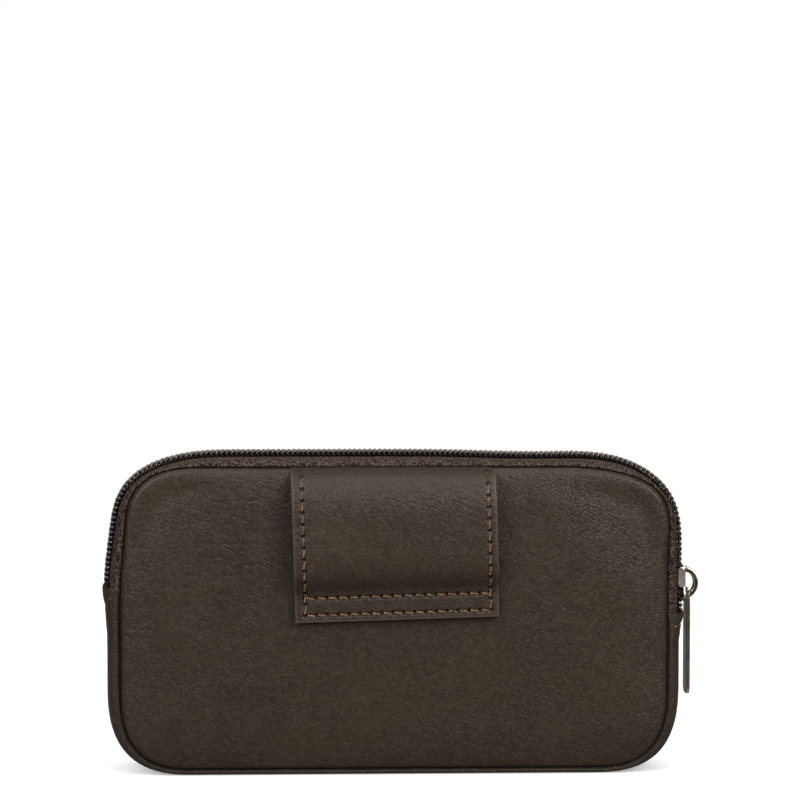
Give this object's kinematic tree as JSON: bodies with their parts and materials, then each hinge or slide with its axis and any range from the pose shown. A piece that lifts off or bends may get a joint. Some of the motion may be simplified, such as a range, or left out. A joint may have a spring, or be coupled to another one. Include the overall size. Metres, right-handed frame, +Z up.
{
  "type": "belt pouch",
  "caption": "Flat leather belt pouch with a coil zip round its top, a slider with a hanging pull, and a stitched belt loop on its back.",
  "frame": {"origin": "centre of the flat base that the pouch stands on", "axes": "+X to the right and +Z up as seen from the belt-loop side, which faces -Y; the zip runs over the top"},
  "size_m": [0.1732, 0.0378, 0.0932],
  "materials": {
    "leather": "fine-grained dark brown nappa, satin",
    "lining": "plain woven cloth, matt",
    "zip_tape": "herringbone woven tape, matt",
    "zip_coil": "nylon coil, semi-gloss",
    "metal": "antique nickel, polished and darkened"
  },
  "bodies": {
    "pouch": {"back_panel": "leather", "front_panel": "leather", "gusset": "leather", "right_zip_end_tab": "leather", "left_zip_end_tab": "leather", "belt_loop_backing": "leather", "belt_loop_face": "leather", "back_lining": "lining", "front_lining": "lining", "gusset_lining": "lining", "back_zip_tape": "zip_tape", "front_zip_tape_right": "zip_tape", "front_zip_tape_left": "zip_tape", "back_zip_coil": "zip_coil", "front_zip_coil_right": "zip_coil", "front_zip_coil_left": "zip_coil"},
    "mouth_flap": {"front_lip": "leather", "front_lip_lining": "lining", "front_zip_tape_top": "zip_tape", "front_zip_coil_top": "zip_coil"},
    "slider": {"slider_body": "metal", "slider_crown": "metal"},
    "pull": {"zip_pull": "metal"}
  },
  "joints": [
    {"name": "mouth_fold", "type": "hinge", "parent": "pouch", "child": "mouth_flap", "pos_m": [0, 0.0156, 0.0705], "axis": [-1, 0, 0], "range_deg": [0, 45]},
    {"name": "slider_travel", "type": "slide", "parent": "pouch", "child": "slider", "axis": [0, 0, 1], "range_m": [0, 0.009], "deforming": ["back_zip_coil", "front_zip_coil_right"]},
    {"name": "pull_swing", "type": "hinge", "parent": "slider", "child": "pull", "pos_m": [0.0841, 0, 0.0541], "axis": [0, -1, 0], "range_deg": [0, 90]}
  ]
}
